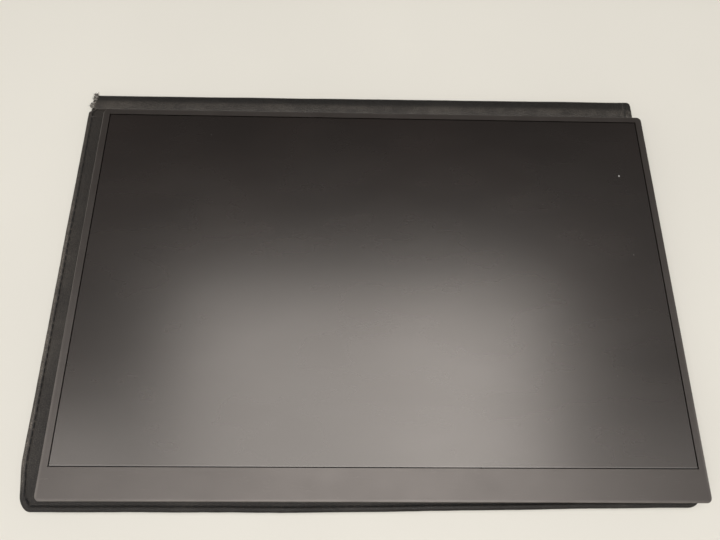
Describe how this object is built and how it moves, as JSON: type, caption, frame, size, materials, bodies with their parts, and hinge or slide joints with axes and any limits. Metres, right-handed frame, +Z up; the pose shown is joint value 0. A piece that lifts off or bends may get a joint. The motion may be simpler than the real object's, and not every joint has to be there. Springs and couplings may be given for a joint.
{
  "type": "portable monitor",
  "caption": "Thin wide portable monitor with a deep chin, lying on its soft magnetic folio cover, whose front flap is folded back underneath along a spine at the far edge.",
  "frame": {"origin": "centre of the footprint, on the table that the folded cover lies on", "axes": "+X to the viewer's right, +Y to the top edge of the screen, +Z up out of the screen"},
  "size_m": [0.3688, 0.2621, 0.0134],
  "materials": {
    "leatherette": "grained, matt",
    "lining": "fine grained, matt",
    "board": "grey fibre board",
    "magnet": "nickel plated",
    "housing": "fine textured grey",
    "bezel": "fine textured warm grey",
    "chassis": "pressed sheet",
    "steel": "zinc plated",
    "screw": "black oxide",
    "screen_film": "matt anti-glare",
    "glass": "clear",
    "optical_film": "pearly",
    "light_guide": "clear acrylic",
    "reflector": "white film",
    "tray": "pressed sheet",
    "gasket": "black foam",
    "circuit": "green solder mask",
    "chip": "black epoxy",
    "pad": "soft grey blue",
    "shell_metal": "bright",
    "tongue": "black",
    "plug": "ivory",
    "flat_cable": "white film",
    "flex": "amber film",
    "jack": "black",
    "key": "satin grey",
    "speaker": "black",
    "cone": "paper",
    "cloth": "fine black mesh",
    "lead": "red sleeve"
  },
  "bodies": {
    "folio_back": {"rear_outer_skin": "leatherette", "rear_board": "board", "rear_hem": "leatherette", "rear_lining": "lining", "rear_magnets": "magnet"},
    "spine": {"spine_outer_skin": "leatherette", "spine_board": "board", "spine_lining": "lining", "spine_crease": "leatherette", "cover_crease": "leatherette"},
    "cover_near": {"cover_near_lining": "lining", "cover_near_board": "board", "cover_near_hem": "leatherette", "cover_near_skin": "leatherette", "stand_crease": "leatherette"},
    "cover_far": {"cover_far_lining": "lining", "cover_far_board": "board", "cover_far_hem": "leatherette", "cover_far_skin": "leatherette", "cover_magnets": "magnet"},
    "minus_button": {"minus_key": "key"},
    "plus_button": {"plus_key": "key"},
    "power_button": {"power_key": "key"},
    "monitor": {"audio_jack": "jack", "back_housing": "housing", "back_screws": "screw", "board_chips": "chip", "board_screws": "screw", "cable_plugs": "plug", "catch_magnets": "magnet", "chassis_plate": "chassis", "display_cable": "flat_cable", "driver_board": "circuit", "driver_chips": "chip", "front_bezel": "bezel", "glass_flexes": "flex", "grille_cloths": "cloth", "hdmi_shell": "shell_metal", "hdmi_tongue": "tongue", "key_board": "circuit", "key_cable": "flat_cable", "key_switches": "plug", "lcd_glass": "glass", "light_bar": "circuit", "light_guide": "light_guide", "mainboard": "circuit", "optical_sheets": "optical_film", "panel_tray": "tray", "reflector_sheet": "reflector", "scaler_chip": "chip", "screen_film": "screen_film", "seam_gasket": "gasket", "speaker_cones": "cone", "speaker_frames": "speaker", "speaker_leads": "lead", "steel_strips": "steel", "thermal_pad": "pad", "usb_shells": "shell_metal", "usb_tongues": "tongue"}
  },
  "joints": [
    {"name": "monitor_slide", "type": "slide", "parent": "folio_back", "child": "monitor", "axis": [0, -1, 0], "range_m": [0, 0.04]},
    {"name": "spine_fold", "type": "hinge", "parent": "folio_back", "child": "spine", "pos_m": [0, 0.1149, 0.00235], "axis": [1, 0, 0], "range_deg": [0, 90], "deforming": ["spine_crease"]},
    {"name": "cover_fold", "type": "hinge", "parent": "spine", "child": "cover_near", "pos_m": [0, 0.1287, 0.00235], "axis": [1, 0, 0], "range_deg": [0, 270], "deforming": ["cover_crease"]},
    {"name": "stand_fold", "type": "hinge", "parent": "cover_near", "child": "cover_far", "pos_m": [0, 0.00447, -0.00015], "axis": [-1, 0, 0], "range_deg": [-170, 0], "deforming": ["stand_crease"]},
    {"name": "minus_press", "type": "slide", "parent": "monitor", "child": "minus_button", "axis": [1, 0, 0], "range_m": [0, 0.0004], "stiffness_N_per_m": 1500, "springref_m": -0.0002},
    {"name": "plus_press", "type": "slide", "parent": "monitor", "child": "plus_button", "axis": [1, 0, 0], "range_m": [0, 0.0004], "stiffness_N_per_m": 1500, "springref_m": -0.0002},
    {"name": "power_press", "type": "slide", "parent": "monitor", "child": "power_button", "axis": [1, 0, 0], "range_m": [0, 0.0004], "stiffness_N_per_m": 1500, "springref_m": -0.0002}
  ]
}
